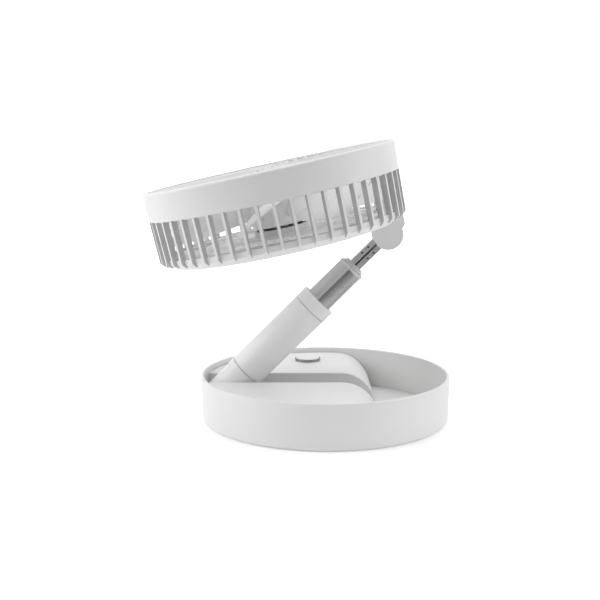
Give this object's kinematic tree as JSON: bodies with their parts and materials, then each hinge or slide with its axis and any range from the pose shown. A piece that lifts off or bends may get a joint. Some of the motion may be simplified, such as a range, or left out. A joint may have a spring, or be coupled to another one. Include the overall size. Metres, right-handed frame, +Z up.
{
  "type": "desk fan",
  "caption": "Folding desk fan: a round louvred head on a hinged telescopic mast that packs away into a shallow drum base.",
  "frame": {"origin": "centre of the base's underside, on the surface that it stands on", "axes": "+Z up; +X from the base hinge towards the open side of the base; +Y to the back"},
  "size_m": [0.2388, 0.1972, 0.2184],
  "materials": {
    "white_abs": "fine satin white moulded plastic",
    "button_white": "satin white key top",
    "knuckle_white": "satin white moulded plastic",
    "impeller_white": "smooth white moulded plastic",
    "motor_white": "white moulded plastic",
    "satin_aluminium": "satin drawn aluminium",
    "rail_metal": "satin drawn aluminium",
    "cap_grey": "grey moulded plastic",
    "dark_chrome": "dark bright plating",
    "plated_steel": "zinc plated",
    "bracket_steel": "plated",
    "pin_steel": "ground",
    "dark_screw": "blackened",
    "silicone": "matt silicone",
    "nylon": "self-coloured nylon",
    "black_abs": "black moulded plastic",
    "cell_wrap": "shrink-wrapped steel can",
    "nickel": "nickel plated",
    "board": "circuit board",
    "lamination": "stacked steel",
    "copper_wire": "enamelled copper",
    "ferrite": "sintered magnet"
  },
  "bodies": {
    "base": {"base_shell": "white_abs", "base_deck": "white_abs", "base_plate": "plated_steel", "base_pad": "silicone", "base_screws": "plated_steel", "hinge_bracket": "bracket_steel", "bracket_screws": "dark_screw", "base_hinge_pin": "pin_steel", "base_hinge_washers": "nylon", "battery_tray": "black_abs", "battery_cells": "cell_wrap", "battery_contacts": "nickel", "control_board": "board", "button_switch": "black_abs", "button_ring": "dark_chrome", "charge_port": "nickel", "port_board": "board"},
    "button": {"button_cap": "button_white"},
    "mast": {"mast_foot": "white_abs", "mast_sleeve": "white_abs", "sleeve_collar": "white_abs"},
    "outer_stage": {"outer_tube": "satin_aluminium", "outer_glide": "nylon", "outer_cap": "cap_grey"},
    "mid_stage": {"mid_tube": "satin_aluminium", "mid_glide": "nylon", "mid_cap": "cap_grey"},
    "inner_stage": {"inner_tube": "satin_aluminium", "inner_glide": "nylon", "inner_cap": "cap_grey"},
    "rail_stage": {"rail": "rail_metal", "rail_glide": "nylon"},
    "head_hinge": {"head_hinge_pin": "pin_steel", "head_hinge_washers": "nylon"},
    "head": {"head_knuckle": "knuckle_white", "knuckle_screws": "dark_screw", "rear_shell": "white_abs", "rear_grille": "white_abs", "grille_screws": "dark_screw", "front_ring": "white_abs", "front_grille": "white_abs", "motor_base": "motor_white", "motor_screws": "dark_screw", "motor_board": "board", "motor_bearings": "pin_steel", "motor_stator": "lamination", "motor_windings": "copper_wire"},
    "impeller": {"motor_shaft": "pin_steel", "rotor_bell": "plated_steel", "magnet_ring": "ferrite", "impeller": "impeller_white", "impeller_nut": "plated_steel"}
  },
  "joints": [
    {"name": "button_press", "type": "slide", "parent": "base", "child": "button", "axis": [0, 0, -1], "range_m": [0, 0.0012], "stiffness_N_per_m": 300, "springref_m": -0.001},
    {"name": "mast_tilt", "type": "hinge", "parent": "base", "child": "mast", "pos_m": [-0.0817, 0, 0.018], "axis": [0, -1, 0], "range_deg": [-43.29, 45.36]},
    {"name": "outer_slide", "type": "slide", "parent": "mast", "child": "outer_stage", "axis": [0.7115, 0, 0.7026], "range_m": [-0.0208, 0.0219]},
    {"name": "mid_slide", "type": "slide", "parent": "outer_stage", "child": "mid_stage", "axis": [0.7115, 0, 0.7026], "range_m": [0, 0.065]},
    {"name": "inner_slide", "type": "slide", "parent": "mid_stage", "child": "inner_stage", "axis": [0.7115, 0, 0.7026], "range_m": [0, 0.06]},
    {"name": "rail_slide", "type": "slide", "parent": "inner_stage", "child": "rail_stage", "axis": [0.7115, 0, 0.7026], "range_m": [0, 0.055]},
    {"name": "head_fold", "type": "hinge", "parent": "rail_stage", "child": "head_hinge", "pos_m": [0.04787, 0, 0.14595], "axis": [0, 1, 0], "range_deg": [-31.2, 32.7]},
    {"name": "head_tilt", "type": "hinge", "parent": "head_hinge", "child": "head", "pos_m": [0.04787, 0, 0.14595], "axis": [0, 1, 0], "range_deg": [-0.5, 115.5]},
    {"name": "impeller_spin", "type": "hinge", "parent": "head", "child": "impeller", "pos_m": [-0.03202, 0, 0.13879], "axis": [-0.2115, 0, 0.9774], "continuous": true}
  ],
  "couplings": [
    {"joint": "outer_slide", "follows": "mast_tilt", "m_per_rad": 0.02747},
    {"joint": "head_fold", "follows": "mast_tilt", "ratio": 0.7064}
  ]
}
